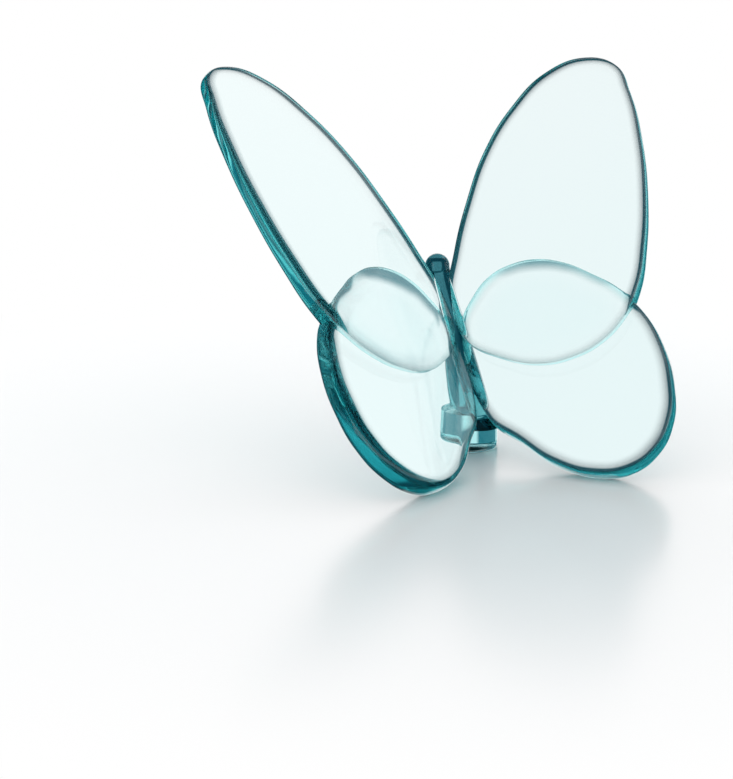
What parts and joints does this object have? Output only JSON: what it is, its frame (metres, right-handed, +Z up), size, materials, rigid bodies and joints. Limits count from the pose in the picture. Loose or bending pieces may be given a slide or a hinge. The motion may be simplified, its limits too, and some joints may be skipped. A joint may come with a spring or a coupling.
{
  "type": "butterfly ornament",
  "caption": "Standing crystal butterfly with open wings, for display on a shelf or desk. It rests on a foot under its tail and on its hindwing rims.",
  "frame": {"origin": "centre of the foot's flat underside", "axes": "+X from the body to the right wing, -Y the way the wings open, +Z up"},
  "size_m": [0.0654, 0.0528, 0.0522],
  "materials": {
    "teal_crystal_body": "polished, clear, tinted through",
    "teal_crystal_wing": "polished, clear, lightly tinted"
  },
  "bodies": {
    "root": {"body": "teal_crystal_body", "foot": "teal_crystal_body", "left_forewing": "teal_crystal_wing", "right_forewing": "teal_crystal_wing", "left_hindwing": "teal_crystal_wing", "right_hindwing": "teal_crystal_wing"}
  },
  "joints": []
}
